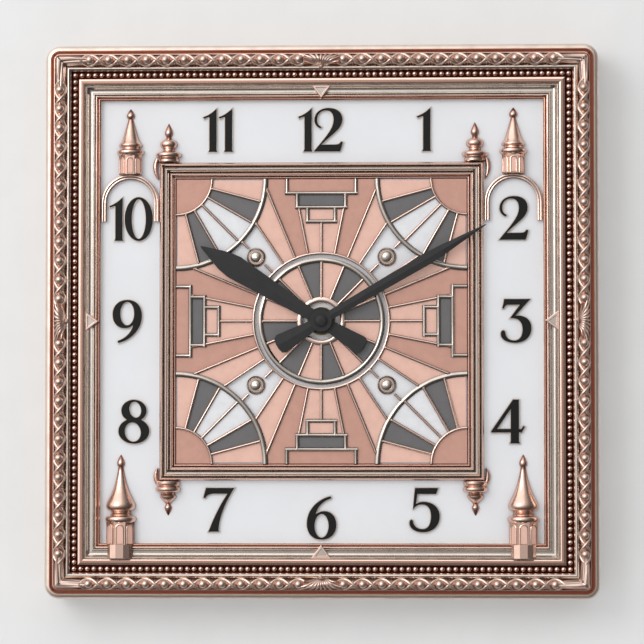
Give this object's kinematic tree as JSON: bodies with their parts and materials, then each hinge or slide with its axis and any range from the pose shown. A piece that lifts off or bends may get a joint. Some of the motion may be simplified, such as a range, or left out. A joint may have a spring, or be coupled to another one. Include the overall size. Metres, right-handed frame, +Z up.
{
  "type": "wall clock",
  "caption": "Square art deco wall clock with a moulded metal frame, relief plaque, applied numerals, turned turrets and two hands.",
  "frame": {"origin": "centre of the hanger plate's round hole, on the wall plane", "axes": "+Z up, +Y into the wall, so that the dial faces -Y; +X to the right as seen from the front"},
  "size_m": [0.273, 0.0322, 0.273],
  "materials": {
    "champagne_metal": "satin champagne anodised",
    "rose_gold_metal": "polished rose gold plate",
    "bronze_metal": "toned rose bronze",
    "white_panel": "smooth white lacquer",
    "blush_enamel": "satin blush enamel",
    "dusky_enamel": "satin dusky rose enamel",
    "charcoal_enamel": "satin charcoal enamel",
    "black_metal": "fine satin black",
    "brass": "plain brass",
    "steel": "zinc plated",
    "black_plastic": "fine moulded texture",
    "natural_plastic": "natural acetal",
    "rubber": "plain",
    "copper_wire": "enamelled wire",
    "circuit_green": "lacquered board",
    "cell_jacket": "plain printed jacket"
  },
  "bodies": {
    "root": {"case_frame": "champagne_metal", "outer_fillet": "rose_gold_metal", "leaf_moulding": "bronze_metal", "leaf_berries": "rose_gold_metal", "champagne_fillet": "champagne_metal", "bead_rail": "bronze_metal", "beads": "rose_gold_metal", "rose_fillet": "rose_gold_metal", "cove_moulding": "champagne_metal", "sight_moulding": "rose_gold_metal", "side_keystones": "rose_gold_metal", "dial_board": "white_panel", "plaque_plate": "white_panel", "border_outer": "rose_gold_metal", "border_mid": "champagne_metal", "border_inner": "rose_gold_metal", "inlay_blush": "blush_enamel", "inlay_dusky": "dusky_enamel", "inlay_charcoal": "charcoal_enamel", "rose_ribs": "rose_gold_metal", "champagne_ribs": "champagne_metal", "plaque_bosses": "champagne_metal", "upper_turrets": "rose_gold_metal", "arch_hoods": "rose_gold_metal", "corner_finials": "rose_gold_metal", "corner_pendants": "rose_gold_metal", "lower_turrets": "rose_gold_metal", "numeral_backs": "rose_gold_metal", "numerals": "black_metal", "bush_washer": "brass", "bush_nut": "brass", "movement_gasket": "rubber", "movement_case": "black_plastic", "movement_cover": "black_plastic", "train_plate": "brass", "stator": "steel", "coil_bobbin": "natural_plastic", "coil_winding": "copper_wire", "circuit_board": "circuit_green", "quartz_crystal": "steel", "timing_chip": "black_plastic", "battery_contacts": "steel", "battery": "cell_jacket", "hanger_plate": "steel", "hanger_screws": "steel", "dial_clips": "steel", "clip_screws": "steel"},
    "minute": {"minute_hand": "black_metal", "hand_cap": "black_metal", "minute_arbor": "brass"},
    "hour": {"hour_hand": "black_metal", "hour_wheel": "natural_plastic"},
    "minute_wheel": {"minute_wheel": "natural_plastic"},
    "knob": {"setting_knob": "black_plastic"},
    "centre": {"centre_wheel": "natural_plastic"},
    "third": {"third_wheel": "natural_plastic"},
    "seconds": {"seconds_wheel": "natural_plastic"},
    "intermediate": {"intermediate_wheel": "natural_plastic"},
    "motor": {"rotor": "steel"}
  },
  "joints": [
    {"name": "minute_turn", "type": "hinge", "parent": "root", "child": "minute", "pos_m": [0, -0.0296, -0.12676], "axis": [0, 1, 0], "continuous": true},
    {"name": "hour_turn", "type": "hinge", "parent": "root", "child": "hour", "pos_m": [0, -0.0276, -0.12676], "axis": [0, 1, 0], "continuous": true},
    {"name": "minute_wheel_turn", "type": "hinge", "parent": "root", "child": "minute_wheel", "pos_m": [-0.00287, -0.012, -0.11886], "axis": [0, 1, 0], "continuous": true},
    {"name": "knob_turn", "type": "hinge", "parent": "root", "child": "knob", "pos_m": [-0.00287, -0.0013, -0.11046], "axis": [0, 1, 0], "continuous": true},
    {"name": "intermediate_turn", "type": "hinge", "parent": "root", "child": "intermediate", "pos_m": [-0.00883, -0.0053, -0.12166], "axis": [0, 1, 0], "continuous": true},
    {"name": "motor_turn", "type": "hinge", "parent": "root", "child": "motor", "pos_m": [-0.01711, -0.0075, -0.12312], "axis": [0, 1, 0], "continuous": true},
    {"name": "seconds_turn", "type": "hinge", "parent": "root", "child": "seconds", "pos_m": [0, -0.0065, -0.12676], "axis": [0, 1, 0], "continuous": true},
    {"name": "third_turn", "type": "hinge", "parent": "root", "child": "third", "pos_m": [0.00836, -0.0077, -0.12091], "axis": [0, 1, 0], "continuous": true},
    {"name": "centre_turn", "type": "hinge", "parent": "root", "child": "centre", "pos_m": [0, -0.0095, -0.12676], "axis": [0, 1, 0], "continuous": true}
  ],
  "couplings": [
    {"joint": "hour_turn", "follows": "minute_turn", "ratio": 0.083333},
    {"joint": "minute_wheel_turn", "follows": "minute_turn", "ratio": -0.33333},
    {"joint": "knob_turn", "follows": "minute_turn", "ratio": 1},
    {"joint": "motor_turn", "follows": "seconds_turn", "ratio": 30},
    {"joint": "intermediate_turn", "follows": "seconds_turn", "ratio": -5},
    {"joint": "third_turn", "follows": "seconds_turn", "ratio": -0.13333},
    {"joint": "centre_turn", "follows": "seconds_turn", "ratio": 0.016667}
  ]
}
